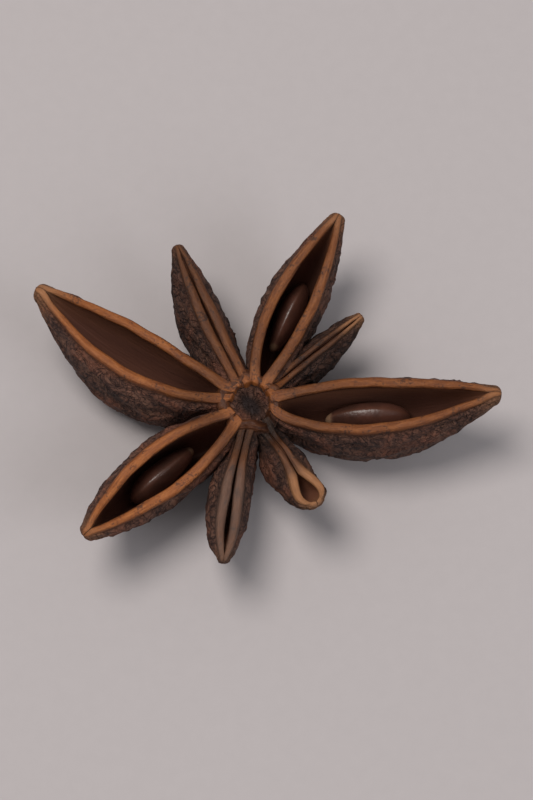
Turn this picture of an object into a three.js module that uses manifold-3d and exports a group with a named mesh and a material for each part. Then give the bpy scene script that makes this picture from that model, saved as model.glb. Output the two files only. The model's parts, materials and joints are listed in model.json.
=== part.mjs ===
// A dried star anise fruit, lying open side up: eight woody carpels round a short column.
// Four carpels have split along the upper seam and show a hollow between two pale lips, and
// three of those still hold a seed. The other four stayed narrow: three are all but shut, and the
// shortest has opened near its tip alone.
// Millimetres and degrees. +Z is up, and the column stands on the origin.

import * as THREE from 'three';
import { mergeVertices } from 'three/addons/utils/BufferGeometryUtils.js';
import Module from 'manifold-3d';

const wasm = await Module();
wasm.setup();

// Carpels, anticlockwise seen from above. reach: column axis to beak tip. gape: from the middle of the
// mouth to the middle of a lip where the mouth is widest, at the share widest of the length. girth:
// half the husk's width. depth: seam to keel. bow: how far the seam swings to its left, most at the
// share bowAt. lift: rise of the beak. drop: seam below the tallest ones. sink: and this much more at
// the column. roll: the keel swings left. Shares that aren't given are a half, and a sink is none.
// seed: half its length, height and thickness, how far out it lies, and how far left of the middle.
const carpels = [
  { azimuth: 0.8, reach: 18.2, gape: 1.84, widest: 0.42, girth: 2.8, depth: 7.4, bow: -0.6, bowAt: 0.3,
    lift: 1.3, drop: 0, roll: -7, seed: { half: [3.2, 1.85, 1.15], at: 0.43, left: 0.45 } },
  { azimuth: 38.8, reach: 10.5, gape: 0.05, girth: 1.45, depth: 4.9, bow: 0.2, lift: 0.9, drop: 0.9,
    roll: 4 },
  { azimuth: 65, reach: 15.5, gape: 1.42, widest: 0.45, girth: 2.35, depth: 7.1, bow: 0.4, bowAt: 0.42,
    lift: 1.5, drop: 0.1, roll: 5, seed: { half: [2.9, 1.8, 0.9], at: 0.46, left: 0 } },
  { azimuth: 114.5, reach: 13.2, gape: 0.42, girth: 1.75, depth: 6.1, bow: 0.1, lift: 0.7, drop: 0.4,
    roll: 8 },
  { azimuth: 151.8, reach: 17.8, gape: 1.8, widest: 0.48, girth: 2.8, depth: 7.5, bow: 0.9, bowAt: 0.36,
    lift: 1.2, drop: 0, roll: 13 },
  { azimuth: 221.3, reach: 15.9, gape: 1.6, widest: 0.46, girth: 2.6, depth: 7.3, bow: -0.28, bowAt: 0.6,
    lift: 1.1, drop: 0.1, roll: -10, seed: { half: [3, 1.8, 1], at: 0.45, left: 0 } },
  { azimuth: 261, reach: 12.4, gape: 0.55, widest: 0.68, girth: 1.7, depth: 6.3, bow: -0.25, lift: 0.8,
    drop: 0.5, sink: 0.3, roll: -6 },
  { azimuth: 301, reach: 9.4, gape: 0.88, widest: 0.84, girth: 1.6, depth: 5, bow: 0.15, lift: 1.2,
    drop: 0.8, sink: 0.8, roll: -5 },
];

// Seams and lips.
const seamHeight = 7.4;     // of the lips above the table
const seamDip = 0.4;        // the seams sink this much where they meet the column
const sinkOver = 0.4;       // share of the length over which a seam that sank rises again
const seamSag = 0.2;        // and this much halfway out
const innerEnd = 1.45;      // from the column's axis to the inner end of each seam
const lipWidth = 0.8;
const lipRootShare = 0.7;   // of that width at the column
const lipBeakShare = 0.5;   // and at the beak
const lipCrown = 0.13;      // rise of a lip's rounded top
const lipFlare = 0.45;      // the lips widen this much where they meet the column

// The husk's section. Its sides are cubic curves whose handles lie at these shares of the depth.
const wall = 0.85;          // husk beside the hollow
const keelWall = 1.2;       // husk under the hollow
const shoulderAt = 0.16;
const bilgeAt = 0.82;
const shoulderSwell = 0.1;  // the side stands this far out below the lip
const shutSwell = 1.22;     // a shut carpel is this much fuller
const groove = 0.45;        // depth of the seam of a shut carpel
const slit = 0.05;          // half its width
const endGroove = 0.1;      // depth that is left of it at both ends
const shutGape = 0.1;       // the seam is a groove where the carpel gapes this little
const openGape = 0.9;       // and a full hollow from here on

// How the section changes from the column, at share 0 of the length, to the beak, at share 1.
const bellyAt = 0.38;       // share of the length where the husk is deepest
const columnDepth = 0.78;   // share of the full depth at the column
const beakDepth = 0.1;      // and at the beak
const keelPower = 2.3;      // the higher, the later the keel turns up
const girthStretch = [0.1, 0.96]; // the girth follows this stretch of a sine arch
const lastRing = 0.97;      // share of the length where the beak starts to close
const rollOver = 0.35;      // share of the length over which the roll sets in
const capDepth = 0.4;       // share of the depth where the inner end closes to a point
const beakDrop = 0.25;      // of the beak's point below the seam

// Lengthwise folds in the husk.
const foldHeight = 0.17;
const foldsEachSide = 2.2;
const foldDrift = 0.4;      // how far they wander round the husk, in folds

const ringCount = { open: 25, shut: 17 };
const outerSteps = 8;       // from lip to keel
const innerSteps = 4;       // from lip to the floor of the hollow

// Radius and height of the column's outline: the stalk's scar, the body, the collar that the lips run
// into, and the pit with a small knob in its middle.
const columnOutline = [[0, 0], [1.3, 0], [1.42, 0.5], [2.1, 1.5], [2.25, 3.8], [2.25, 6.1], [2.1, 6.85],
  [1.7, 7.1], [1.38, 6.85], [1.15, 6.2], [0.8, 5.95], [0.4, 6], [0, 6.2]];
const columnSides = 32;

const clearance = 0.3;      // round each seed
const seedRise = 0.9;       // of a seed's lower edge above the floor of the hollow
const seedTaper = 0.14;     // a seed is this much blunter at its outer end
const seedSides = [18, 12];

const tableSize = [60, 60, 10];
const weldSize = 1e-4;

const withSeed = carpels.filter((carpel) => carpel.seed);
const radians = THREE.MathUtils.degToRad;
const mix = THREE.MathUtils.lerp;
const smooth = THREE.MathUtils.smoothstep;
const arch = (t) => Math.sin(Math.PI * t);
const archAt = (t, peak = 0.5) => arch(t ** (Math.log(0.5) / Math.log(peak)));

// The seam's middle at share t of the length: out from the axis, left, and up.
function seamAt(carpel, t) {
  return new THREE.Vector3(
    mix(innerEnd, carpel.reach, t),
    carpel.bow * archAt(t, carpel.bowAt),
    seamHeight - seamDip * (1 - smooth(t, 0, 0.3)) - carpel.drop * smooth(t, 0, 0.25)
      - (carpel.sink ?? 0) * (1 - smooth(t, 0, sinkOver)) - seamSag * arch(t) + carpel.lift * t ** 4,
  );
}

// The sizes of the section at share t of the length.
function sizesAt(carpel, t) {
  const gape = carpel.gape * archAt(t, carpel.widest) ** 0.9;
  const lip = lipWidth * mix(mix(lipRootShare, lipBeakShare, t), 1, arch(t));
  const mouth = gape + lip / 2 + lipFlare * (1 - t) ** 6;
  const girth = Math.max(carpel.girth * arch(mix(...girthStretch, t)) ** 0.85, mouth + 0.08);
  const inward = t < bellyAt ? Math.sin(Math.PI / 2 * t / bellyAt) : 1;
  const outward = Math.max(0, (t - bellyAt) / (1 - bellyAt)) ** keelPower;
  const depth = carpel.depth * mix(columnDepth, 1, inward) * mix(1, beakDepth, outward);
  const hollow = smooth(gape, shutGape, openGape);
  const ends = smooth(t, 0, 0.06) * smooth(lastRing - t, 0, 0.05);
  return {
    mouth, girth, depth, hollow,
    inMouth: Math.max(gape - lip / 2, slit),
    cavity: hollow * ends,
    floor: mix(endGroove, mix(groove, depth - keelWall, hollow), ends),
  };
}

// Outside of the husk at share s of the way from lip to keel: a cubic curve that swells below the lip.
function huskAt(size, s) {
  const full = mix(shutSwell, 1, size.hollow);
  const shoulder = mix(size.mouth, size.girth, 0.95) + shoulderSwell;
  const [a, b, c] = [(1 - s) ** 3, 3 * (1 - s) ** 2 * s, 3 * (1 - s) * s * s];
  return [
    a * size.mouth + b * shoulder + c * size.girth * full,
    -size.depth * (shoulderAt * b + bilgeAt * c + s ** 3),
  ];
}

// Height of the lengthwise folds, which run crooked from the column to the beak.
function foldAt(carpel, t, s, side) {
  const drift = foldDrift * Math.sin(2 * Math.PI * (t + carpel.azimuth / 90));
  const wave = Math.sin(2 * Math.PI * (foldsEachSide * s + drift) + side * 1.3 + carpel.azimuth);
  return foldHeight * wave * arch(s) * arch(Math.min(1, t * 1.02 + 0.03));
}

// The section at share t as [left, up] pairs from the seam's middle: down the left of the husk, up its
// right, over the right lip, round the hollow and over the left lip.
function sectionAt(carpel, t) {
  const size = sizesAt(carpel, t);
  const lipShare = size.inMouth / size.mouth;
  const wallShare = Math.max(lipShare, 1 - wall / size.girth);
  const outside = (s, side) => {
    const [x, z] = huskAt(size, s);
    const fold = foldAt(carpel, t, s, side);
    return [side * (x + fold * (1 - s)), z - fold * s];
  };
  const inside = (s, side) => {
    const [x, z] = huskAt(size, s);
    const wide = x * mix(lipShare, wallShare, smooth(s, 0, 0.35));
    const narrow = size.inMouth * (1 - s);
    return [side * mix(narrow, wide, size.cavity), z * size.floor / size.depth];
  };
  const crest = (side) => [side * (size.mouth + size.inMouth) / 2, lipCrown];
  const steps = (count, at, side) => Array.from({ length: count + 1 }, (_, i) => at(i / count, side));
  return [
    ...steps(outerSteps, outside, 1),
    ...steps(outerSteps, outside, -1).reverse().slice(1),
    crest(-1),
    ...steps(innerSteps, inside, -1),
    ...steps(innerSteps, inside, 1).reverse().slice(1),
    crest(1),
  ];
}

// A point of the carpel in its own frame: +X out along the arm, +Y left, +Z up.
function placed(carpel, t, [left, up]) {
  const roll = radians(carpel.roll) * smooth(t, 0, rollOver);
  const seam = seamAt(carpel, t);
  return [
    seam.x,
    seam.y + left * Math.cos(roll) - up * Math.sin(roll),
    seam.z + left * Math.sin(roll) + up * Math.cos(roll),
  ];
}

// Rings of points joined into one closed skin, with a pole at each end.
function skinOf(rings, startPole, endPole) {
  const around = rings[0].length;
  const points = [...rings.flat(), startPole, endPole];
  const faces = [];
  for (let j = 0; j < around; j += 1) {
    const next = (j + 1) % around;
    for (let i = 0; i < rings.length - 1; i += 1) {
      const [a, b] = [i * around + j, i * around + next];
      faces.push(a, a + around, b, b, a + around, b + around);
    }
    const last = (rings.length - 1) * around;
    faces.push(points.length - 2, j, next);
    faces.push(points.length - 1, last + next, last + j);
  }
  const skin = new THREE.BufferGeometry();
  skin.setAttribute('position', new THREE.Float32BufferAttribute(points.flat(), 3));
  skin.setIndex(faces);
  return skin;
}

function carpelSkin(carpel) {
  const count = carpel.gape > openGape ? ringCount.open : ringCount.shut;
  const eased = (i) => (1 - Math.cos(Math.PI * i / (count - 1))) / 2;
  const shares = Array.from({ length: count }, (_, i) => lastRing * eased(i));
  const rings = shares.map((t) => sectionAt(carpel, t).map((point) => placed(carpel, t, point)));
  const startPole = placed(carpel, 0, [0, -carpel.depth * capDepth]);
  const endPole = placed(carpel, 1, [0, -beakDrop]);
  return skinOf(rings, startPole, endPole).rotateZ(radians(carpel.azimuth));
}

function columnSkin() {
  const outline = columnOutline.map(([radius, height]) => new THREE.Vector2(radius, height));
  return new THREE.LatheGeometry(outline, columnSides).rotateX(Math.PI / 2);
}

// A seed is a flattened egg, blunt outwards, lying on edge in the hollow. The nest that holds it is
// the same shape grown all round.
function seedSkin(carpel, grown = 0) {
  const [length, height, thickness] = carpel.seed.half.map((half) => half + grown);
  const seam = seamAt(carpel, carpel.seed.at);
  const size = sizesAt(carpel, carpel.seed.at);
  const egg = new THREE.SphereGeometry(1, ...seedSides);
  const at = egg.attributes.position;
  for (let i = 0; i < at.count; i += 1) {
    const taper = 1 + seedTaper * at.getX(i);
    at.setXYZ(i, at.getX(i) * length, at.getY(i) * thickness * taper, at.getZ(i) * height * taper);
  }
  const rest = -size.floor + carpel.seed.half[1] + seedRise;
  return egg
    .translate(0, carpel.seed.left, rest)
    .rotateX(radians(carpel.roll))
    .translate(seam.x, seam.y, seam.z)
    .rotateZ(radians(carpel.azimuth));
}

// Points closer than the weld size become one, and the faces that this flattens are dropped.
function welded(geometry) {
  const bare = geometry.clone();
  bare.deleteAttribute('normal');
  bare.deleteAttribute('uv');
  const merged = mergeVertices(bare, weldSize);
  const corners = Array.from(merged.index.array);
  const kept = [];
  for (let i = 0; i < corners.length; i += 3) {
    const [a, b, c] = corners.slice(i, i + 3);
    if (a !== b && b !== c && c !== a) kept.push(a, b, c);
  }
  merged.setIndex(kept);
  return merged;
}

// three.js geometry to a solid and back, so that solids can be joined and cut.
function solidOf(geometry) {
  const { attributes, index } = welded(geometry);
  return new wasm.Manifold(new wasm.Mesh({
    numProp: 3,
    vertProperties: attributes.position.array,
    triVerts: new Uint32Array(index.array),
  }));
}

function geometryOf(solid) {
  const { vertProperties, triVerts } = solid.getMesh();
  const geometry = new THREE.BufferGeometry();
  geometry.setAttribute('position', new THREE.BufferAttribute(vertProperties, 3));
  geometry.setIndex(new THREE.BufferAttribute(triVerts, 1));
  geometry.computeVertexNormals();
  return geometry;
}

const huskMaterial = new THREE.MeshStandardMaterial({ color: 0x5a3322, roughness: 0.75, metalness: 0 });
const seedMaterial = new THREE.MeshStandardMaterial({ color: 0x4a1f10, roughness: 0.25, metalness: 0 });

// The husk is one piece, cut level underneath so that it stands on its keels and its stalk scar.
function husk() {
  const table = solidOf(new THREE.BoxGeometry(...tableSize).translate(0, 0, -tableSize[2] / 2));
  let body = solidOf(columnSkin());
  for (const carpel of carpels) body = body.add(solidOf(carpelSkin(carpel)));
  for (const carpel of withSeed) body = body.subtract(solidOf(seedSkin(carpel, clearance)));
  const mesh = new THREE.Mesh(geometryOf(body.subtract(table)), huskMaterial);
  mesh.name = 'husk';
  return mesh;
}

function seeds() {
  return withSeed.map((carpel, i) => {
    const mesh = new THREE.Mesh(seedSkin(carpel), seedMaterial);
    mesh.name = `seed_${i + 1}`;
    return mesh;
  });
}

const starAnise = new THREE.Group();
starAnise.add(husk(), ...seeds());

export default starAnise;
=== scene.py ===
import json
import math

import bmesh
import bpy
import numpy as np
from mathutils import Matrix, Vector

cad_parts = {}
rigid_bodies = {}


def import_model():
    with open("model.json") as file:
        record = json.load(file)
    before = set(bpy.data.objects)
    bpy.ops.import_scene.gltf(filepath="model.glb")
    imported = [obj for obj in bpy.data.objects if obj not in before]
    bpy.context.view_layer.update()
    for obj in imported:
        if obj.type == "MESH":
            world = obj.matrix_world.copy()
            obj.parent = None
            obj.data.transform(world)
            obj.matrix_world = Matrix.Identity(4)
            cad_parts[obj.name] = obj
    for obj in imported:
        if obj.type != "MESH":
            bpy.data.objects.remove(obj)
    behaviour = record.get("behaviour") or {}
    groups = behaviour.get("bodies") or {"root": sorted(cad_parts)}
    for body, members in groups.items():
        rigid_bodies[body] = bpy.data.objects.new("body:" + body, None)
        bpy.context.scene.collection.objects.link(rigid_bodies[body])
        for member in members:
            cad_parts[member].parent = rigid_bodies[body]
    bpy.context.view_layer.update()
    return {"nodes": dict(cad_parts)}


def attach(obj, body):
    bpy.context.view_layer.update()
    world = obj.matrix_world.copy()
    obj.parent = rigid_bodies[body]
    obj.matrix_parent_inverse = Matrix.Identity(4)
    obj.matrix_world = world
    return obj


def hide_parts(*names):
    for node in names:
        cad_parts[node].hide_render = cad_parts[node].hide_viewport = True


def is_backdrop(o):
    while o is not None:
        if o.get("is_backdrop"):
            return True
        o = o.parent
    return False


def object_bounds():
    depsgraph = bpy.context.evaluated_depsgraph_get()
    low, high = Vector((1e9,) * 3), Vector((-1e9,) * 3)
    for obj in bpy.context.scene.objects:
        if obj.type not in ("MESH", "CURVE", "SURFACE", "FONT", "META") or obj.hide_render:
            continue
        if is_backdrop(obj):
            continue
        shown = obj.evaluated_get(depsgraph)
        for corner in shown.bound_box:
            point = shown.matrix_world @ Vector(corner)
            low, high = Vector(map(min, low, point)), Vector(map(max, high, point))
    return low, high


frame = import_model()
print("frame loaded:", ", ".join(sorted(frame["nodes"])))

mm = 0.001

# The eight arms, anticlockwise, in millimetres and degrees. First the plan: azimuth is where the arm
# points, reach from the column's axis to the beak's tip, gape from the middle of the mouth to the
# middle of a lip where it is widest, at the share widest of the length, girth half the husk's width
# and depth from seam to keel. Then the seam: bow is how far it swings left, most at the share bowAt,
# lift the rise of the beak, drop how far it lies below the tallest ones, sink so much more at the
# column, and roll how far the keel swings left. Then the looks: ripe is how orange the lips are, root
# and the shade after it are painted shade, how bright the lips are at the column and beyond, and glow
# is how pale the beak is, partly its own pale colour and partly a painted highlight, and from which
# share of the length. closeFrom is where the lips start to close over the beak. Then the seed: half
# its length, height and thickness, how far out it lies, and how far left of the middle.
# Where they aren't given, widest and bowAt are a half, sink is none, and root is 1.
carpels = [
    {"azimuth": 0.8, "reach": 18.2, "gape": 1.84, "widest": 0.42, "girth": 2.8, "depth": 7.4,
     "bow": -0.6, "bowAt": 0.3, "lift": 1.3, "drop": 0, "roll": -7,
     "ripe": 1, "paintedShade": 0.84, "glow": (0.7, 0.86),
     "seed": {"node": "seed_1", "half": (3.2, 1.85, 1.15), "at": 0.43, "left": 0.45}},
    {"azimuth": 38.8, "reach": 10.5, "gape": 0.05, "girth": 1.45, "depth": 4.9,
     "bow": 0.2, "lift": 0.9, "drop": 0.9, "roll": 4,
     "ripe": 0.8, "paintedShade": 0.35, "glow": (1, 0.72)},
    {"azimuth": 65, "reach": 15.5, "gape": 1.42, "widest": 0.45, "girth": 2.35, "depth": 7.1,
     "bow": 0.4, "bowAt": 0.42, "lift": 1.5, "drop": 0.1, "roll": 5,
     "ripe": 1, "paintedShade": 0.8, "glow": (0.8, 0.88),
     "seed": {"node": "seed_2", "half": (2.9, 1.8, 0.9), "at": 0.46, "left": 0}},
    {"azimuth": 114.5, "reach": 13.2, "gape": 0.42, "girth": 1.75, "depth": 6.1,
     "bow": 0.1, "lift": 0.7, "drop": 0.4, "roll": 8,
     "ripe": 0.8, "paintedShade": 0.5, "glow": (0.2, 0.9)},
    {"azimuth": 151.8, "reach": 17.8, "gape": 1.8, "widest": 0.48, "girth": 2.8, "depth": 7.5,
     "bow": 0.9, "bowAt": 0.36, "lift": 1.2, "drop": 0, "roll": 13,
     "ripe": 1, "paintedShade": 1.12, "glow": (1, 0.8)},
    {"azimuth": 221.3, "reach": 15.9, "gape": 1.6, "widest": 0.46, "girth": 2.6, "depth": 7.3,
     "bow": -0.28, "bowAt": 0.6, "lift": 1.1, "drop": 0.1, "roll": -10,
     "ripe": 1, "paintedShade": 1.24, "glow": (0.6, 0.88),
     "seed": {"node": "seed_3", "half": (3, 1.8, 1), "at": 0.45, "left": 0}},
    {"azimuth": 261, "reach": 12.4, "gape": 0.55, "widest": 0.68, "girth": 1.7, "depth": 6.3,
     "bow": -0.25, "lift": 0.8, "drop": 0.5, "sink": 0.3, "roll": -6,
     "ripe": 0.15, "root": 0.35, "paintedShade": 0.95, "glow": (0.3, 0.88)},
    {"azimuth": 301, "reach": 9.4, "gape": 0.88, "widest": 0.84, "girth": 1.6, "depth": 5,
     "bow": 0.15, "lift": 1.2, "drop": 0.8, "sink": 0.8, "roll": -5,
     "ripe": 0.6, "root": 0.1, "paintedShade": 0.6, "glow": (1, 0.5), "closeFrom": 0.94},
]

# The husk's own sizes, in millimetres, and the shares and powers of its curves. An arm counts as open
# when its gape is past openFrom. Open and shut arms have their own numbers of rings and steps.
husk = {
    # the seam: height over the scar, dip at the column, sag on the way
    "seamHeight": 7.4, "seamDip": 0.4, "dipOver": 0.3, "dropOver": 0.25, "sinkOver": 0.4,
    "seamSag": 0.2,
    # the ends: where an arm starts, the domes that close it and the depth of their middles
    "innerEnd": 1.45, "innerDome": 0.25, "innerMiddle": 0.4, "lastRing": 0.97, "beakMiddle": 0.25,
    "closeFrom": 0.9, "beakSqueeze": 0.8,
    # the lips
    "lipWidth": 0.8, "lipRootShare": 0.7, "lipBeakShare": 0.5, "lipCrown": 0.3, "lipFlare": 0.45,
    "lipWaver": 0.08, "undercut": 0.1, "webEnd": {"open": 0.14, "shut": 0.5}, "gapePower": 0.9,
    # the outside: keelShares are the depths of the curve's two inner points
    "girthPower": 0.85, "pastLip": 0.08, "rootDepth": 0.78, "beakDepth": 0.1, "bellyAt": 0.38,
    "keelPower": 2.3, "keelShares": (0.16, 0.82), "shutSwell": 1.22,
    "foldHeight": 0.17, "foldsEachSide": 2.2, "foldDrift": 0.4,
    # the hollow: its floor is a groove where the gape is small
    "wall": 0.85, "keelWall": 1.2, "groove": 0.45, "slit": 0.05, "endGroove": 0.1,
    "hollowGape": (0.1, 0.9), "innerGrain": 0.03,
    # the grid
    "openFrom": 0.9, "rings": {"open": 106, "shut": 70}, "capRings": 6,
    "outerSteps": {"open": 40, "shut": 32}, "lipSteps": {"open": 9, "shut": 6},
    "innerSteps": {"open": 20, "shut": 6}, "aroundScale": 7.5, "rimFade": 0.16,
}


def smooth(x, low, high):  # 0 below low, 1 above high, and 3u^2 - 2u^3 between
    u = np.clip((x - low) / (high - low), 0, 1)
    return u * u * (3 - 2 * u)


def mix(a, b, share):  # a + (b - a) times share
    return a + (b - a) * share


def arch(t):  # sine of half a turn times t: 0 at both ends, 1 in the middle
    return np.sin(np.pi * np.clip(t, 0, 1))


def archAt(t, peak):  # the same with its top at the share peak
    return arch(t ** (math.log(0.5) / math.log(peak)))


randomDirections = np.random.default_rng(47).normal(size=(4096, 3))
randomDirections /= np.linalg.norm(randomDirections, axis=1)[:, None]


# Gradient noise from -1 to 1: at each corner of the unit cell, the corner's own direction dotted
# with the way from the corner, mixed by the quintic 6f^5 - 15f^4 + 10f^3 and stretched to the range.
def noise(x, y, z=0.0, seed=0):
    point = np.stack(np.broadcast_arrays(x, y, np.asarray(z, float)), axis=-1)
    cell = np.floor(point).astype(np.int64)
    part = point - cell
    ease = part ** 3 * (part * (part * 6 - 15) + 10)
    total = np.zeros(point.shape[:-1])
    for corner in np.ndindex(2, 2, 2):
        key = (cell + corner) * (73856093, 19349663, 83492791)
        index = (key[..., 0] ^ key[..., 1] ^ key[..., 2] ^ (seed * 2654435761)) & 4095
        weight = np.prod(np.where(corner, ease, 1 - ease), axis=-1)
        total += weight * np.sum(randomDirections[index] * (part - corner), axis=-1)
    return total * 1.6


# The seam's middle at share t: straight out from the axis, swinging left by an arch, dipping and
# sinking towards the column, sagging by an arch and rising with the fourth power of t.
def seamAt(carpel, t):
    out = mix(husk["innerEnd"], carpel["reach"], t)
    left = carpel["bow"] * archAt(t, carpel.get("bowAt", 0.5))
    dip = husk["seamDip"] * (1 - smooth(t, 0, husk["dipOver"]))
    drop = carpel["drop"] * smooth(t, 0, husk["dropOver"])
    sink = carpel.get("sink", 0) * (1 - smooth(t, 0, husk["sinkOver"]))
    sag = husk["seamSag"] * arch(t)
    return out, left, husk["seamHeight"] - dip - drop - sink - sag + carpel["lift"] * t ** 4


# Half widths, depth and floor of the section at share t. The gape is an arch to a power, its middle
# moved to the widest share, and flares at the column. The girth is an arch to a power and stays
# outside the lips. The depth grows by a sine as far as the belly and falls by a power beyond it.
def sizesAt(carpel, t):
    gape = carpel["gape"] * archAt(t, carpel.get("widest", 0.5)) ** husk["gapePower"]
    lip = husk["lipWidth"] * mix(mix(husk["lipRootShare"], husk["lipBeakShare"], t), 1, arch(t))
    mouth = gape + lip / 2 + husk["lipFlare"] * (1 - t) ** 6
    girth = carpel["girth"] * arch(0.1 + 0.86 * t) ** husk["girthPower"]
    belly = husk["bellyAt"]
    inward = np.where(t < belly, np.sin(np.pi / 2 * t / belly), 1)
    beyond = np.clip((t - belly) / (1 - belly), 0, 1) ** husk["keelPower"]
    depth = carpel["depth"] * mix(husk["rootDepth"], 1, inward) * mix(1, husk["beakDepth"], beyond)
    hollow = smooth(gape, *husk["hollowGape"])
    ends = smooth(t, 0, 0.06) * smooth(husk["lastRing"] - t, 0, 0.05)
    return {
        "mouth": mouth, "girth": np.maximum(girth, mouth + husk["pastLip"]), "depth": depth,
        "hollow": hollow, "cavity": hollow * ends,
        "inMouth": np.maximum(gape - lip / 2, husk["slit"]),
        "floor": mix(husk["endGroove"], mix(husk["groove"], depth - husk["keelWall"], hollow), ends),
    }


# Outside of the husk at share s from lip to keel: a cubic Bezier curve that swells below the lip.
def sideAt(size, s):
    swell = mix(husk["shutSwell"], 1, size["hollow"])
    shoulder = size["mouth"] + (size["girth"] - size["mouth"]) * 0.95 + 0.1
    a, b, c = (1 - s) ** 3, 3 * (1 - s) ** 2 * s, 3 * (1 - s) * s ** 2
    upper, lower = husk["keelShares"]
    return (a * size["mouth"] + b * shoulder + c * size["girth"] * swell,
            -size["depth"] * (upper * b + lower * c + s ** 3))


# Lengthwise folds: a sine of the way round whose phase drifts along the arm.
def foldAt(carpel, t, s, side):
    drift = husk["foldDrift"] * np.sin(2 * np.pi * (t + carpel["azimuth"] / 90))
    turns = husk["foldsEachSide"] * s + drift
    wave = np.sin(2 * np.pi * turns + side * 1.3 + carpel["azimuth"])
    return husk["foldHeight"] * wave * arch(s) * arch(np.minimum(1, t * 1.02 + 0.03))


# The whole section at every share t, as arrays with one row for each ring: down the left side, up
# the right side, over the right lip, down and up the hollow, over the left lip. rim is the share s
# away from a lip, inner is 1 in the hollow, and around runs from 1 at the left lip over 0 at the keel
# to -1, and past them over the lips and down the hollow to 2 and -2. At the beak the lips close over
# the slit and become one rounded end.
def sectionsAt(carpel, t, kind):
    size = sizesAt(carpel, t)
    outerSteps, lipSteps, innerSteps = (husk[k][kind] for k in ("outerSteps", "lipSteps", "innerSteps"))
    wallShare = np.maximum(size["inMouth"] / size["mouth"], 1 - husk["wall"] / size["girth"])
    closing = smooth(t, carpel.get("closeFrom", husk["closeFrom"]), husk["lastRing"])
    squeeze = 1 - husk["beakSqueeze"] * closing
    half = (size["mouth"] - size["inMouth"]) / 2
    web = smooth(t, 0, husk["webEnd"][kind])
    crown = husk["lipCrown"] * np.minimum(1, half / 0.3) * mix(0.3, 1, web)
    columns = {name: [] for name in ("left", "up", "rim", "inner", "around")}

    def add(left, up, rim, inner, around):
        shape = np.broadcast_shapes(left.shape, up.shape)
        for name, value in zip(columns, (left, up, rim, inner, around)):
            columns[name].append(np.broadcast_to(value, shape))

    def outside(s, side):
        x, z = sideAt(size, s)
        fold = foldAt(carpel, t, s, side) - husk["undercut"] * np.exp(-((s - 0.06) / 0.03) ** 2)
        add(side * (x + fold * (1 - s)), z - fold * s, s, 0, side * (1 - s))

    def overLip(turn, side):
        rope = mix(np.sin(turn) ** 0.8, np.cos(turn / 2) ** 0.8, closing)
        inwards = 1 - turn / np.pi
        add(side * (size["inMouth"] * squeeze + half * (1 - np.cos(turn))), crown * rope,
            0, inwards, side * (1 + 0.1 * inwards))

    def inside(s, side):
        x, z = sideAt(size, s)
        wide = x * mix(size["inMouth"] / size["mouth"], wallShare, smooth(s, 0, 0.35))
        narrow = size["inMouth"] * (1 - s) * squeeze
        floor = size["floor"] * squeeze
        add(side * mix(narrow, wide, size["cavity"]), crown * closing + z * floor / size["depth"],
            s, 1, side * (1.1 + 0.9 * s))

    # steps are closer together near the lips
    down = np.linspace(0, 1, outerSteps + 1)[None, :] ** 1.1
    across = np.linspace(0, np.pi, lipSteps + 2)[None, 1:-1]
    deep = np.linspace(0, 1, innerSteps + 1)[None, :] ** 1.2
    outside(down, 1)
    outside(down[:, -2::-1], -1)
    overLip(across[:, ::-1], -1)
    inside(deep, -1)
    inside(deep[:, -2::-1], 1)
    overLip(across, 1)
    return {name: np.concatenate(parts, axis=1) for name, parts in columns.items()}


# Unit normals of a closed grid of points: the cross product of the differences along and around it.
def normalsOf(points):
    along = np.gradient(points, axis=0)
    around = np.roll(points, -1, axis=1) - np.roll(points, 1, axis=1)
    normal = np.cross(around, along)
    return normal / np.maximum(np.linalg.norm(normal, axis=-1, keepdims=True), 1e-9)


# Height in millimetres, cell length and width, power and mean of the three fields of the bark, and at
# which level of the noise each is cut.
barkFields = [
    {"height": 0.42, "cell": (2.9, 1.25), "power": 0.75, "mean": 0.4, "level": 0.5},
    {"height": 0.2, "cell": (1.25, 0.7), "power": 0.8, "mean": 0.38, "level": 5.5},
    {"height": 0.08, "cell": (0.7, 0.45), "power": 0.8, "mean": 0.38, "level": 7.5},
]


# Bark relief in millimetres: the size of noise, to a power, is a field of round ridges with sharp
# creases between them. The three fields are added, their places first warped by slower noise.
def barkAt(along, around, seed):
    warpAlong = along + 0.9 * noise(along / 3.1, around / 2.3, 3.3, seed)
    warpAround = around + 0.7 * noise(along / 3.4, around / 2.1, 9.7, seed)
    relief = 0
    for field in barkFields:
        cellLength, cellWidth = field["cell"]
        ridges = np.abs(noise(warpAlong / cellLength, warpAround / cellWidth, field["level"], seed))
        relief = relief + field["height"] * (ridges ** field["power"] - field["mean"])
    return relief


# The rings of an arm: share of the length, how much they shrink and how far they move on. They are
# closer together at both ends, which are closed by domes: their rings shrink by the cosine of a
# quarter turn and move on by its sine.
def ringsOf(length, kind):
    last = husk["lastRing"]
    count = husk["rings"][kind]
    body = last * (1 - np.cos(np.pi * np.arange(count) / (count - 1))) / 2
    turn = np.linspace(0, np.pi / 2, husk["capRings"] + 2)[1:-1]
    t = np.concatenate([np.zeros(len(turn)), body, np.full(len(turn), last)])
    shrink = np.concatenate([np.cos(turn[::-1]), np.ones(count), np.cos(turn)])
    onward = np.concatenate([-husk["innerDome"] * np.sin(turn[::-1]), np.zeros(count),
                             (1 - last) * length * np.sin(turn)])
    return t[:, None], shrink[:, None], onward[:, None]


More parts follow.
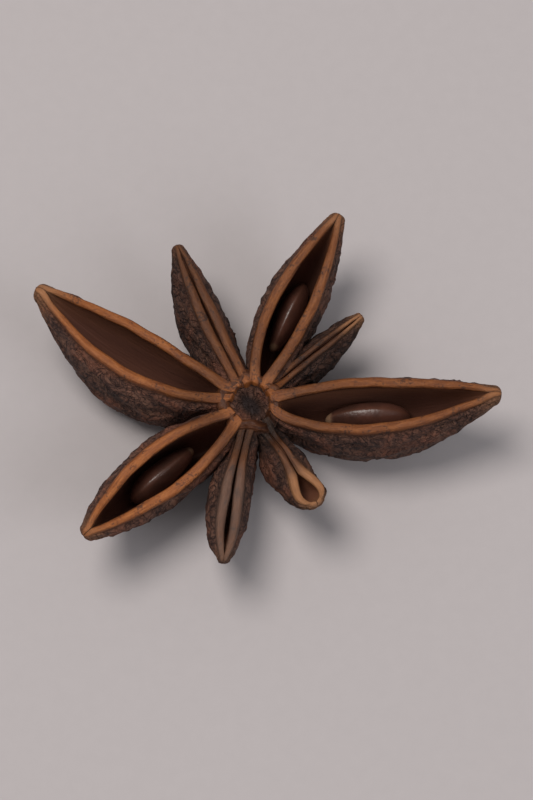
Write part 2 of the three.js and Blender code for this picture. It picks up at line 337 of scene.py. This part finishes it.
# One arm as a grid of points with two poles, and what closedMesh needs to paint it.
def carpelSkin(carpel, seed):
    kind = "open" if carpel["gape"] > husk["openFrom"] else "shut"
    length = carpel["reach"] - husk["innerEnd"]
    t, shrink, onward = ringsOf(length, kind)
    grid = sectionsAt(carpel, t, kind)
    innerMiddle, beakMiddle = -carpel["depth"] * husk["innerMiddle"], -husk["beakMiddle"]
    middle = np.where(t < 0.5, innerMiddle, beakMiddle)
    left = grid["left"] * shrink
    up = middle + (grid["up"] - middle) * shrink

    # the lips waver a little in place and height
    alongMm = t * length
    side = np.sign(grid["around"])
    waver = husk["lipWaver"] * (1 - smooth(grid["rim"], 0, 0.1)) * arch(t) ** 0.5 * shrink
    left = left + waver * noise(alongMm / 2.1, side * 4.0, 1.5, seed)
    up = up + 0.9 * waver * noise(alongMm / 1.4, side * 4.0, 8.5, seed)

    points = np.stack(placed(carpel, t, onward, left, up), axis=-1)

    # bark on the outside, fine lengthwise grain in the hollow
    aroundMm = grid["around"] * husk["aroundScale"]
    outer = ((grid["around"] ** 2 < 1) * smooth(grid["rim"], 0.03, 0.2) * smooth(t, 0, 0.05)
             * mix(1, 0.4, smooth(t, 0.8, husk["lastRing"])) * shrink)
    bark = outer * barkAt(alongMm, aroundMm, seed)
    inner = (np.abs(grid["around"]) > 1.1) * smooth(t, 0, 0.1)
    grain = husk["innerGrain"] * noise(alongMm / 3.5, np.abs(aroundMm) / 0.55, 2.5, seed)
    points = points + normalsOf(points) * (bark + inner * grain)[..., None]
    if "seed" in carpel:
        points = nested(carpel, points, grid["inner"] > 0.5)

    poles = [placed(carpel, 0.0, -husk["innerDome"], 0, innerMiddle),
             placed(carpel, 1.0, 0, 0, beakMiddle)]
    turned = turnedAbout(carpel["azimuth"], np.concatenate([points.reshape(-1, 3), poles]))
    turned[:, 2] = np.maximum(turned[:, 2], 0)  # what would reach below the scar is level with it
    paint = carpelPaint(carpel, t, grid, bark, up)
    return turned, left.shape, paint, [alongMm, np.abs(aroundMm) + 20 * seed]


# What the material reads. surface: nearness of a lip, hollow or outside, height of the bark about a
# half, ripeness. place: share of the length, glow (pale beak, partly a painted highlight), depth
# below the seam, painted shade.
def carpelPaint(carpel, t, grid, bark, up):
    glow, glowFrom = carpel["glow"]
    onLips = smooth(t, glowFrom, glowFrom + 0.2) * (1 - smooth(grid["rim"], 0.03, 0.1))
    onTip = 0.7 * smooth(t, 0.86, husk["lastRing"])
    return {
        "surface": [1 - np.clip(grid["rim"] / husk["rimFade"], 0, 1), grid["inner"],
                    np.clip(0.5 + bark * 1.5, 0, 1), mix(1, carpel["ripe"], smooth(t, 0.12, 0.45))],
        # the last place channel is painted shade, from root at the column to the arm's own value beyond
        "place": [t, glow * np.maximum(onLips, onTip), smooth(-up, 0, 5),
                  mix(carpel.get("root", 1), carpel["paintedShade"], smooth(t, 0.1, 0.4))],
    }


# A point of the arm's own frame: past the seam's middle at a share, left and up of it, rolled about it.
def placed(carpel, share, past, left, up):
    out0, left0, up0 = seamAt(carpel, share)
    roll = math.radians(carpel["roll"]) * smooth(share, 0, 0.35)
    return (np.broadcast_to(out0 + past, np.shape(left)),
            left0 + left * np.cos(roll) - up * np.sin(roll),
            up0 + left * np.sin(roll) + up * np.cos(roll))


def turnedAbout(azimuth, points):  # turned anticlockwise about the column's axis
    c, s = math.cos(math.radians(azimuth)), math.sin(math.radians(azimuth))
    return points @ np.array([[c, s, 0], [-s, c, 0], [0, 0, 1]])


# A seed rises clear of the hollow's floor and has room round it. taper makes it blunt outwards, rim
# is the height of the ridge round its edge, and dimple that of its dents, as shares of its size.
seedSizes = {
    "rise": 0.9, "room": 0.06, "taper": 0.14, "rim": 0.02, "rimWidth": 0.16, "dimple": 0.03,
    "rings": 72, "sides": 96,
}


# Where a seed lies: its middle in the arm's frame, and the roll about the arm's length.
def seedPlace(carpel):
    lie = carpel["seed"]
    rise = lie["half"][1] - sizesAt(carpel, lie["at"])["floor"] + seedSizes["rise"]
    return np.array(placed(carpel, lie["at"], 0, lie["left"], rise)), math.radians(carpel["roll"])


# Hollow points that lie inside the seed, grown by its room, move straight out of it to its surface.
def nested(carpel, points, inHollow):
    middle, roll = seedPlace(carpel)
    half = np.array(carpel["seed"]["half"]) + seedSizes["room"]
    way = points - middle
    x = way[..., 0] / half[0]
    taper = 1 + seedSizes["taper"] * np.clip(x, -1, 1)
    y = (way[..., 1] * math.cos(roll) + way[..., 2] * math.sin(roll)) / (half[2] * taper)
    z = (-way[..., 1] * math.sin(roll) + way[..., 2] * math.cos(roll)) / (half[1] * taper)
    reach = np.sqrt(x * x + y * y + z * z)
    grow = np.where(inHollow & (reach < 1), 1 / np.maximum(reach, 0.2), 1)
    return middle + way * grow[..., None]


# A closed mesh from rings of points, the first and last ring closed by a fan to a pole. paint gives
# corner colours of four channels and lay the corner UV; a channel is a grid, a row, a column or a
# number.
def closedMesh(name, points, ringShape, paint, lay):
    rings, around = ringShape
    row = np.arange(rings - 1)[:, None]
    col = np.arange(around)[None, :]
    nextCol = (col + 1) % around
    quads = np.stack([row * around + col, (row + 1) * around + col,
                      (row + 1) * around + nextCol, row * around + nextCol], axis=-1).reshape(-1, 4)
    ring = np.arange(around)
    nextRing = (ring + 1) % around
    start, end = rings * around, rings * around + 1
    last = (rings - 1) * around
    fans = np.concatenate([np.stack([np.full(around, start), ring, nextRing], axis=-1),
                           np.stack([np.full(around, end), last + nextRing, last + ring], axis=-1)])

    a, b, c = (points[quads[:, k]] for k in (0, 1, 2))
    if np.sum(np.cross(a, b) * c) < 0:  # the six-fold volume is negative: turn every face round
        quads, fans = quads[:, ::-1], fans[:, ::-1]

    mesh = bpy.data.meshes.new(name)
    loops = np.concatenate([quads.ravel(), fans.ravel()]).astype(np.int32)
    starts = np.concatenate([np.arange(len(quads)) * 4, len(quads) * 4 + np.arange(len(fans)) * 3])
    mesh.vertices.add(len(points))
    mesh.vertices.foreach_set("co", (points * mm).astype(np.float32).ravel())
    mesh.loops.add(len(loops))
    mesh.loops.foreach_set("vertex_index", loops)
    mesh.polygons.add(len(starts))
    mesh.polygons.foreach_set("loop_start", starts.astype(np.int32))
    mesh.update(calc_edges=True)

    def onCorners(grids):
        flat = np.stack([np.broadcast_to(grid, ringShape).reshape(-1) for grid in grids], axis=-1)
        flat = np.concatenate([flat, flat[:1], flat[last:last + 1]])
        return flat[loops].astype(np.float32).ravel()

    for title, grids in paint.items():
        layer = mesh.attributes.new(title, "FLOAT_COLOR", "CORNER")
        layer.data.foreach_set("color", onCorners(grids))
    mesh.uv_layers.new(name="lay").data.foreach_set("uv", onCorners(lay))
    piece = bpy.data.objects.new(name, mesh)
    bpy.context.scene.collection.objects.link(piece)
    return piece


# Radius and height of the column in millimetres: stalk scar, body, the collar that the lips run
# into, and the pit with a small knob in its middle. uneven: how far the collar's radius wanders, as a
# share. breach: how far the collar sinks between the two lowest arms, in that direction and so wide.
column = {
    "outline": [(0, 0), (1.3, 0), (1.42, 0.5), (2.1, 1.5), (2.25, 3.8), (2.25, 6.1), (2.1, 6.9),
                (1.7, 7.15), (1.36, 6.9), (1.15, 6.25), (0.8, 5.8), (0.4, 5.8), (0, 6.1)],
    "rings": 84, "sides": 120, "roughness": 0.1, "uneven": 0.26,
    "rayHeight": 0.3, "rayWidth": 11, "breach": 0.9, "breachAt": 314, "breachWidth": 20,
}


# Radius and height at even steps along the outline, whose corners have been cut off twice, and the
# way that is left from there to the knob.
def columnOutline():
    outline = np.array(column["outline"], float)
    for _ in range(2):
        near = outline[:-1] * 0.75 + outline[1:] * 0.25
        far = outline[:-1] * 0.25 + outline[1:] * 0.75
        cut = np.stack([near, far], axis=1).reshape(-1, 2)
        outline = np.concatenate([outline[:1], cut, outline[-1:]])
    way = np.concatenate([[0], np.cumsum(np.linalg.norm(np.diff(outline, axis=0), axis=1))])
    at = np.linspace(0, way[-1], column["rings"] + 2)[1:-1]
    radius, height = (np.interp(at, way, outline[:, k])[:, None] for k in (0, 1))
    return radius, height, way[-1] - at[:, None]


# A bell curve of the angle from an azimuth, as wide as given in degrees.
def bellAt(turn, azimuth, width):
    aside = (np.degrees(turn) - azimuth + 180) % 360 - 180
    return np.exp(-(aside / width) ** 2)


# The column is the outline turned about the axis. Its sides and pit are roughened by noise, a ray
# rises in the pit towards each arm, and the collar sinks in one direction; the scar underneath stays
# level.
def columnPiece():
    radius, height, fromKnob = columnOutline()
    turn = np.linspace(0, 2 * np.pi, column["sides"], endpoint=False)[None, :]
    wander = noise(1.5 * np.cos(turn), 1.5 * np.sin(turn), 0.4, 13)
    spread = radius * (1 + column["uneven"] * wander * smooth(height, 5.5, 6.5))
    x, y = spread * np.cos(turn), spread * np.sin(turn)
    rough = noise(x / 0.55, y / 0.55, height / 0.8, 11)
    rough = rough + 0.5 * noise(x / 0.25, y / 0.25, height / 0.3, 12)
    lifted = column["roughness"] * rough * smooth(height, 0.1, 0.6)
    swell = 1 + lifted / np.maximum(radius, 0.8)
    rays = sum(bellAt(turn, carpel["azimuth"], column["rayWidth"]) for carpel in carpels)
    inPit = (1 - smooth(fromKnob, 1.2, 1.9)) * smooth(radius, 0.15, 0.8)
    breach = bellAt(turn, column["breachAt"], column["breachWidth"])
    top = (height + lifted * smooth(height, 5.5, 6.1) + column["rayHeight"] * rays * inPit
           - column["breach"] * breach * smooth(height, 5.8, 7))
    points = np.stack([x * swell, y * swell, top], axis=-1)
    poles = [[0, 0, column["outline"][0][1]], [0, 0, column["outline"][-1][1]]]
    grid = np.concatenate([points.reshape(-1, 3), poles])
    # the collar is painted like the lips that run into it, with painted shade where it sinks
    collar = smooth(radius, 1.15, 1.4) * smooth(height, 6.1, 6.6)
    paint = {"surface": [collar, 0, np.clip(0.5 + rough * 0.5, 0, 1), 1],
             "place": [0.05, 0, smooth(6 - height, 0, 5), 1 - 0.7 * breach]}
    return closedMesh("columnCore", grid, x.shape, paint, [turn * radius, height])


# The faces that hang together with the first one over edges that two faces share.
def shellOf(first):
    shell = {first}
    fresh = [first]
    while fresh:
        for edge in fresh.pop().edges:
            if len(edge.link_faces) == 2:
                beside = set(edge.link_faces) - shell
                shell |= beside
                fresh.extend(beside)
    return shell


# Where bark crosses bark, the union leaves faces that fold over themselves and crumbs that hang on by
# a corner. All faces become triangles; two on the same corners are an empty fold, and both go. So does
# all that isn't in the largest shell, looked for from the first face and from the middle one, and an
# edge with more than two faces is drawn into a point. same: in metres, the distance of corners that
# are one.
def trimmed(mesh, same=1e-7):
    work = bmesh.new()
    work.from_mesh(mesh)
    bmesh.ops.remove_doubles(work, verts=work.verts, dist=same)
    bmesh.ops.triangulate(work, faces=work.faces)
    onCorners = {}
    for face in work.faces:
        onCorners.setdefault(frozenset(face.verts), []).append(face)
    folds = [face for faces in onCorners.values() if len(faces) > 1 for face in faces]
    bmesh.ops.delete(work, geom=folds, context="FACES")
    work.faces.ensure_lookup_table()
    main = max((shellOf(work.faces[k]) for k in (0, len(work.faces) // 2)), key=len)
    crumbs = [face for face in work.faces if face not in main]
    bmesh.ops.delete(work, geom=crumbs, context="FACES")
    crowded = [edge for edge in work.edges if len(edge.link_faces) > 2]
    bmesh.ops.collapse(work, edges=crowded)
    print(f"trimmed: {len(folds)} folded faces, {len(crumbs)} loose ones, {len(crowded)} crowded edges")
    work.to_mesh(mesh)
    work.free()


# Column and arms are joined by one union, and the column and the arms it was made from are removed.
def joinedHusk():
    core = columnPiece()
    arms = bpy.data.collections.new("arms")
    for index, carpel in enumerate(carpels):
        arms.objects.link(closedMesh(f"arm{index}", *carpelSkin(carpel, index)))
    join = core.modifiers.new("join", "BOOLEAN")
    join.operation = "UNION"
    join.operand_type = "COLLECTION"
    join.collection = arms
    join.solver = "MANIFOLD"
    evaluated = core.evaluated_get(bpy.context.evaluated_depsgraph_get())
    whole = bpy.data.meshes.new_from_object(evaluated)
    whole.name = "huskSkin"
    trimmed(whole)
    for arm in list(arms.objects):
        bpy.data.objects.remove(arm)
    bpy.data.collections.remove(arms)
    bpy.data.objects.remove(core)
    piece = bpy.data.objects.new("huskSkin", whole)
    bpy.context.scene.collection.objects.link(piece)
    return piece


def smoothShaded(piece):
    piece.data.polygons.foreach_set("use_smooth", np.ones(len(piece.data.polygons), bool))
    piece.data.update()


# A seed is an ellipsoid, blunt outwards, with a low ridge round its edge and a pale scar at its inner
# end. Rings run from the inner end to the outer one; the ridge is a bell curve across the edge.
# The material reads surface: scar, nearness of the edge, and two channels that a seed has no use for.
def seedPiece(carpel, index):
    length, height, thickness = carpel["seed"]["half"]
    lengthwise = np.linspace(0, np.pi, seedSizes["rings"] + 2)[1:-1, None]
    turn = np.linspace(0, 2 * np.pi, seedSizes["sides"], endpoint=False)[None, :]
    x = -np.cos(lengthwise) + 0 * turn
    belt = np.sin(lengthwise) * (1 + seedSizes["taper"] * x)
    across, upright = np.sin(turn), np.cos(turn)
    ridge = seedSizes["rim"] * np.exp(-(across / seedSizes["rimWidth"]) ** 2)
    dents = seedSizes["dimple"] * noise(x * 1.3, across * 0.9, upright * 1.1, 20 + index)
    girth = belt * (1 + (ridge + dents) * np.sin(lengthwise))
    local = np.stack([x * length, girth * across * thickness, girth * upright * height], axis=-1)
    middle, roll = seedPlace(carpel)
    c, s = math.cos(roll), math.sin(roll)
    rolled = local @ np.array([[1, 0, 0], [0, c, s], [0, -s, c]])
    ends = np.array([[-length, 0, 0], [length, 0, 0]])
    grid = turnedAbout(carpel["azimuth"], np.concatenate([rolled.reshape(-1, 3), ends]) + middle)
    scar = np.exp(-(((x + 0.93) / 0.09) ** 2)) * smooth(upright, -0.2, 0.6)
    paint = {"surface": [scar, np.exp(-(across / 0.2) ** 2), 0, 0]}
    return closedMesh(f"seedCoat{index + 1}", grid, x.shape, paint, [x * length, turn * height])


class Wire:  # a socket's value: arithmetic on it adds Math nodes
    def __init__(self, board, socket):
        self.board = board
        self.socket = socket

    def maths(self, operation, first, second):
        return self.board.node("ShaderNodeMath", {"operation": operation}, {0: first, 1: second})

    def __add__(self, other):
        return self.maths("ADD", self, other)

    def __sub__(self, other):
        return self.maths("SUBTRACT", self, other)

    def __rsub__(self, other):
        return self.maths("SUBTRACT", other, self)

    def __mul__(self, other):
        return self.maths("MULTIPLY", self, other)

    def __pow__(self, other):
        return self.maths("POWER", self, other)

    def __abs__(self):
        return self.maths("ABSOLUTE", self, 0.0)

    __radd__ = __add__
    __rmul__ = __mul__

    def within(self, low, high):  # 0 below low, 1 above high, smooth between
        settings = {"interpolation_type": "SMOOTHSTEP"}
        sockets = {0: self, 1: low, 2: high, 3: 0.0, 4: 1.0}
        return self.board.node("ShaderNodeMapRange", settings, sockets)


class Board:  # a material's node tree
    def __init__(self, name):
        self.material = bpy.data.materials.new(name)
        self.material.use_nodes = True
        self.tree = self.material.node_tree
        self.shader = self.tree.nodes["Principled BSDF"]

    def node(self, kind, settings, sockets, output=0):
        made = self.tree.nodes.new(kind)
        for name, value in settings.items():
            setattr(made, name, value)
        for key, value in sockets.items():
            self.feed(made.inputs[key], value)
        return Wire(self, made.outputs[output])

    def feed(self, socket, value):
        if isinstance(value, Wire):
            self.tree.links.new(value.socket, socket)
        elif socket.type == "RGBA" and len(value) == 3:
            socket.default_value = (*value, 1)
        else:
            socket.default_value = value

    def set(self, **sockets):
        for name, value in sockets.items():
            self.feed(self.shader.inputs[name.replace("_", " ")], value)
        return self.material

    def blend(self, first, second, share):  # colours, by a share from 0 to 1
        settings = {"data_type": "RGBA", "blend_type": "MIX", "clamp_factor": True}
        return self.node("ShaderNodeMix", settings, {0: share, 6: first, 7: second}, 2)

    def scaled(self, colour, amount):  # a colour made lighter or darker
        return self.node("ShaderNodeVectorMath", {"operation": "SCALE"}, {0: colour, "Scale": amount})

    def spots(self, place, scale, detail=3.0, rough=0.55, warp=0.0):  # noise about 0.5
        sockets = {"Vector": place, "Scale": scale, "Detail": detail, "Roughness": rough,
                   "Distortion": warp}
        return self.node("ShaderNodeTexNoise", {"noise_dimensions": "3D"}, sockets)

    # thin creases, 1 away from them: they run where a noise crosses its middle
    def creases(self, place, scale, warp, width):
        return abs(self.spots(place, scale, 2.0, 0.5, warp) - 0.5).within(0.0, width)

    def stretched(self, place, scale):  # the same place, measured in other units along each axis
        return self.node("ShaderNodeVectorMath", {"operation": "MULTIPLY"}, {0: place, 1: scale})

    def parts(self, kind, whole):  # the three numbers of a colour or a place
        return [self.node(kind, {}, {0: whole}, k) for k in range(3)]

    def paint(self, title):  # the four channels of a corner colour
        read = {"attribute_name": title}
        colour = self.node("ShaderNodeAttribute", read, {}, "Color")
        fourth = self.node("ShaderNodeAttribute", read, {}, "Alpha")
        return *self.parts("ShaderNodeSeparateColor", colour), fourth

    def bump(self, height, depth):  # depth in metres for a height of 1
        sockets = {"Height": height, "Distance": depth, "Strength": 1.0}
        return self.node("ShaderNodeBump", {}, sockets)


# Colours are linear red, green and blue. Scales are in cells to the metre.
huskLook = {
    # the darkest bark colour is also painted shade in the creases, and the ridge colour a painted
    # highlight
    "bark": (0.112, 0.052, 0.035), "barkDarkAndShade": (0.026, 0.012, 0.010), "barkRed": (0.180, 0.066, 0.038),
    "barkRidgeHighlight": (0.225, 0.120, 0.078), "dust": (0.30, 0.21, 0.15),
    "lip": (0.182, 0.054, 0.013), "lipDark": (0.080, 0.022, 0.008), "lipPale": (0.280, 0.096, 0.026),
    # the beak colour is partly its own pale colour and partly a painted highlight
    "lipFleck": (0.030, 0.012, 0.008), "lipDull": (0.085, 0.056, 0.045), "beak": (0.30, 0.135, 0.060),
    # the deeper wall colour is painted shade towards the hollow's floor
    "wall": (0.170, 0.068, 0.038), "wallDeepShade": (0.120, 0.050, 0.034),
    # the two pit colours are painted shade; the scar is the pale wood under the column
    "pit": (0.020, 0.011, 0.010), "pitRim": (0.052, 0.023, 0.015), "scar": (0.150, 0.085, 0.055),
    "pitRadius": 1.2 * mm, "pitNarrow": 1.7,
    "patches": 330, "mottles": 1050, "net": 900, "fineNet": 2300, "grain": 5200,
    "rough": 0.80, "relief": 0.12 * mm, "gloss": 0.25,
}


# Bark: painted shade where it lies low and in the creases, a painted highlight on the ridges, redder
# in patches, with a little pale dust. It follows the arm's painted shade by its square root. net and
# fineNet are 0 in their creases.
def barkColour(board, height, paintedShade, net, fineNet, patches, mottles, grain):
    look = huskLook
    raised = height * 0.55 + net * 0.25 + fineNet * 0.2
    # painted shade where the bark lies low, and darker mottles
    bark = board.blend(look["barkDarkAndShade"], look["bark"], (raised + mottles * 0.5 - 0.25).within(0.25, 0.8))
    bark = board.blend(bark, look["barkRed"], patches.within(0.45, 0.64) * 0.75)
    # painted highlight on the raised bark
    bark = board.blend(bark, look["barkRidgeHighlight"], (raised + mottles * 0.8 - 0.4).within(0.68, 1.05) * 0.75)
    # painted shade in the net of creases
    bark = board.blend(bark, look["barkDarkAndShade"], (1 - fineNet * 0.6 - net * 0.4).within(0.1, 1.0) * 0.6)
    bark = board.blend(bark, look["dust"], (grain * 0.5 + mottles * 0.6).within(0.68, 0.80) * 0.4)
    # the arm's painted shade, by its square root
    return board.scaled(bark, paintedShade ** 0.5)


# The pit, where the seams meet on top, and the round scar underneath. The pit is painted shade,
# darkest in its middle, an oval along the diagonal that runs into the gap between the two lowest
# arms; both have an uneven edge.
def pitOver(board, colour, place, patches, mottles, grain):
    look = huskLook
    x, y, z = board.parts("ShaderNodeSeparateXYZ", place)
    onTop = z.within(2 * mm, 3 * mm)
    longWay = (x - y) * math.sqrt(0.5)
    shortWay = (x + y) * math.sqrt(0.5) * (1 + onTop * (look["pitNarrow"] - 1))
    fromAxis = (longWay * longWay + shortWay * shortWay) ** 0.5
    fromAxis = fromAxis + (mottles - 0.5) * (0.5 * mm) + (patches - 0.5) * (0.9 * mm)
    radius = look["pitRadius"]
    # painted shade, darkest in the pit's middle
    pit = board.blend(look["pit"], look["pitRim"], fromAxis.within(radius * 0.5, radius))
    scar = board.blend(look["scar"], look["barkDarkAndShade"], grain.within(0.55, 0.4))
    return board.blend(board.blend(scar, pit, onTop), colour,
                       fromAxis.within(radius * 0.92, radius * 1.15))


def huskMaterial():
    look = huskLook
    board = Board("starAniseHusk")
    place = board.node("ShaderNodeTexCoord", {}, {}, "Object")
    lay = board.node("ShaderNodeUVMap", {"uv_map": "lay"}, {})
    lip, inner, height, ripe = board.paint("surface")
    along, glow, deep, paintedShade = board.paint("place")
    patches = board.spots(place, look["patches"], 4.0, 0.6, 0.6)
    mottles = board.spots(place, look["mottles"], 5.0, 0.65)
    grain = board.spots(place, look["grain"], 3.0, 0.6)
    streaks = board.spots(board.stretched(lay, (0.35, 3.2, 1.0)), 1.6, 4.0, 0.6)
    fibres = board.spots(board.stretched(lay, (0.7, 6.5, 1.0)), 1.0, 4.0, 0.7)
    net = board.creases(place, look["net"], 0.8, 0.07)
    fineNet = board.creases(place, look["fineNet"], 0.5, 0.09)
    bark = barkColour(board, height, paintedShade, net, fineNet, patches, mottles, grain)

    # lips: streaked lengthwise, palest along the crest, with a few dark flecks, dull where the arm
    # never ripened, with painted shade just outside the column and towards both edges of the rope, a
    # painted highlight along its crest, and the arm's painted shade
    crest = inner * (1 - inner) * 4
    lit = (streaks * 0.6 + fibres * 0.6 + crest * 0.2).within(0.46, 0.82)
    lips = board.blend(look["lipDark"], look["lip"], lit)
    pale = (fibres + grain * 0.3 + crest * 0.1).within(0.66, 0.92)
    lips = board.blend(lips, look["lipPale"], pale * 0.7)
    lips = board.blend(lips, look["lipFleck"], (mottles * 0.7 + grain * 0.5).within(0.54, 0.46) * 0.7)
    grained = fibres * 0.9 + mottles * 0.5 + 0.3
    dull = board.scaled(look["lipDull"], grained)
    lips = board.blend(dull, lips, ripe * 0.9 + (mottles - 0.5) * 0.4 + 0.1)
    # painted shading: lighter on the crest, darker at the rope's edges and just outside the column
    ropeShading = crest * 0.45 + 0.68
    shadeNearColumn = along.within(0.0, 0.1) * (1 - along.within(0.15, 0.4))
    lips = board.scaled(lips, (1 - shadeNearColumn * 0.4) * ropeShading * paintedShade)

    # the hollow is smooth and red-brown, with painted shade that deepens towards the floor; a darker
    # band runs along the lips, and the lips lie over it with an uneven edge
    walls = board.blend(look["wall"], look["wallDeepShade"], (deep + streaks * 0.3 - 0.15).within(0.0, 0.6))
    colour = board.blend(bark, walls, inner)
    colour = board.blend(colour, board.scaled(lips, 0.62), lip.within(0.0, 1.0) * 0.75)
    lipEdge = (lip + (mottles - 0.5) * 0.5 + (fibres - 0.5) * 0.3).within(0.68, 0.88)
    colour = board.blend(colour, lips, lipEdge)
    # the pale beak, partly its own colour and partly a painted highlight, with the rope's painted
    # shading
    colour = board.blend(colour, board.scaled(look["beak"], grained * ropeShading), glow * 0.85)
    colour = pitOver(board, colour, place, patches, mottles, grain)

    # bark is rough, lips less so, and the hollow has a satin finish
    satin = inner * (1 - lipEdge)
    rough = look["rough"] - mottles * 0.14 - lipEdge * 0.20 - satin * 0.30
    woody = (net * 0.5 + fineNet * 0.45 + grain * 0.5 + mottles * 0.6) * (1 - inner) * (1 - lipEdge)
    silky = (streaks * 0.5 + fibres * 0.8 + grain * 0.3) * lipEdge + streaks * satin * 0.4
    return board.set(Base_Color=colour, Roughness=rough, Specular_IOR_Level=look["gloss"],
                     Normal=board.bump(woody + silky, look["relief"]))


seedLook = {
    "coat": (0.080, 0.030, 0.020), "coatDark": (0.040, 0.017, 0.012), "rim": (0.12, 0.045, 0.024),
    "scar": (0.19, 0.105, 0.06), "clouds": 420, "pores": 5200,
    "rough": 0.27, "relief": 0.02 * mm, "gloss": 0.4,
}


# A cloudy dark coat, redder along the ridge, pale and dull at the scar.
def seedMaterial():
    look = seedLook
    board = Board("starAniseSeed")
    place = board.node("ShaderNodeTexCoord", {}, {}, "Object")
    scar, rim, _, _ = board.paint("surface")
    clouds = board.spots(place, look["clouds"], 4.0, 0.55)
    pores = board.spots(place, look["pores"], 2.0, 0.5)
    coat = board.blend(look["coatDark"], look["coat"], clouds.within(0.36, 0.62))
    coat = board.blend(coat, look["rim"], rim * 0.3)
    coat = board.blend(coat, look["scar"], (scar + (pores - 0.5) * 0.5).within(0.2, 1.0))
    rough = look["rough"] + pores * 0.12 + scar * 0.4
    return board.set(Base_Color=coat, Roughness=rough, Specular_IOR_Level=look["gloss"],
                     Normal=board.bump(pores + clouds * 2, look["relief"]))


huskPiece = joinedHusk()
smoothShaded(huskPiece)
huskPiece.data.materials.clear()
huskPiece.data.materials.append(huskMaterial())
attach(huskPiece, "root")
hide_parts("husk")
print("husk:", len(huskPiece.data.polygons), "faces,", len(huskPiece.data.vertices), "points")

seedCoat = seedMaterial()
for index, carpel in enumerate([c for c in carpels if "seed" in c]):
    piece = seedPiece(carpel, index)
    smoothShaded(piece)
    piece.data.materials.append(seedCoat)
    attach(piece, "root")
    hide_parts(carpel["seed"]["node"])
print("seeds made")

# Lengths are in metres, lens and sensor in millimetres, angles in degrees. fill is the share of the
# picture's width that the pod takes up, and aim is the point that the lights turn to.
studio = {
    "floor": (0.44, 0.40, 0.40), "floorSize": 1.2, "floorMottles": 900,
    "world": (0.95, 0.97, 1.0), "worldStrength": 0.32,
    "elevation": 72, "lens": 170, "fill": 0.87, "sensor": 36, "frame": (533, 800),
    "aim": (0, 0, 0.004),
    "lights": {
        "keyLight": {"place": (-0.12, 0.06, 0.44), "size": 0.22, "power": 1.5,
                     "colour": (1.0, 0.97, 0.93)},
        "fillLight": {"place": (0.34, -0.22, 0.30), "size": 0.30, "power": 0.7,
                      "colour": (0.93, 0.96, 1.0)},
    },
}


def studioFloor():
    half = studio["floorSize"] / 2
    mesh = bpy.data.meshes.new("floor")
    corners = [(-half, -half, 0), (half, -half, 0), (half, half, 0), (-half, half, 0)]
    mesh.from_pydata(corners, [], [(0, 1, 2, 3)])
    floor = bpy.data.objects.new("floor", mesh)
    bpy.context.scene.collection.objects.link(floor)
    board = Board("studioFloor")
    place = board.node("ShaderNodeTexCoord", {}, {}, "Object")
    mottle = board.spots(place, studio["floorMottles"], 4.0, 0.6)
    mesh.materials.append(board.set(Base_Color=board.scaled(studio["floor"], mottle * 0.06 + 0.97),
                                    Roughness=0.85, Specular_IOR_Level=0.2))
    floor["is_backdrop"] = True


def areaLight(name, place, size, power, colour):  # a round lamp turned to the pod
    lamp = bpy.data.lights.new(name, "AREA")
    lamp.shape = "DISK"
    lamp.size = size
    lamp.energy = power
    lamp.color = colour
    light = bpy.data.objects.new(name, lamp)
    bpy.context.scene.collection.objects.link(light)
    light.location = place
    way = Vector(studio["aim"]) - Vector(place)
    light.rotation_euler = way.to_track_quat("-Z", "Y").to_euler()


# The camera looks at the middle of the pod from the front, so far away that the pod fills its share
# of the width.
def studioCamera():
    low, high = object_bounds()
    target = (low + high) / 2
    data = bpy.data.cameras.new("camera")
    data.lens = studio["lens"]
    data.sensor_width = studio["sensor"]
    camera = bpy.data.objects.new("camera", data)
    bpy.context.scene.collection.objects.link(camera)
    wide, tall = studio["frame"]
    shownWidth = studio["sensor"] * wide / tall
    distance = (high.x - low.x) / studio["fill"] * studio["lens"] / shownWidth
    tilt = math.radians(studio["elevation"])
    back = Vector((0, -math.cos(tilt), math.sin(tilt)))
    camera.location = target + back * distance
    camera.rotation_euler = (-back).to_track_quat("-Z", "Y").to_euler()
    data.clip_start = 0.01
    data.clip_end = 10
    bpy.context.scene.camera = camera


studioFloor()
for name, light in studio["lights"].items():
    areaLight(name, **light)
world = bpy.data.worlds.new("studioWorld")
world.use_nodes = True
background = world.node_tree.nodes["Background"].inputs
background["Color"].default_value = (*studio["world"], 1)
background["Strength"].default_value = studio["worldStrength"]
bpy.context.scene.world = world
bpy.context.scene.view_settings.view_transform = "Standard"
studioCamera()
print("studio ready")
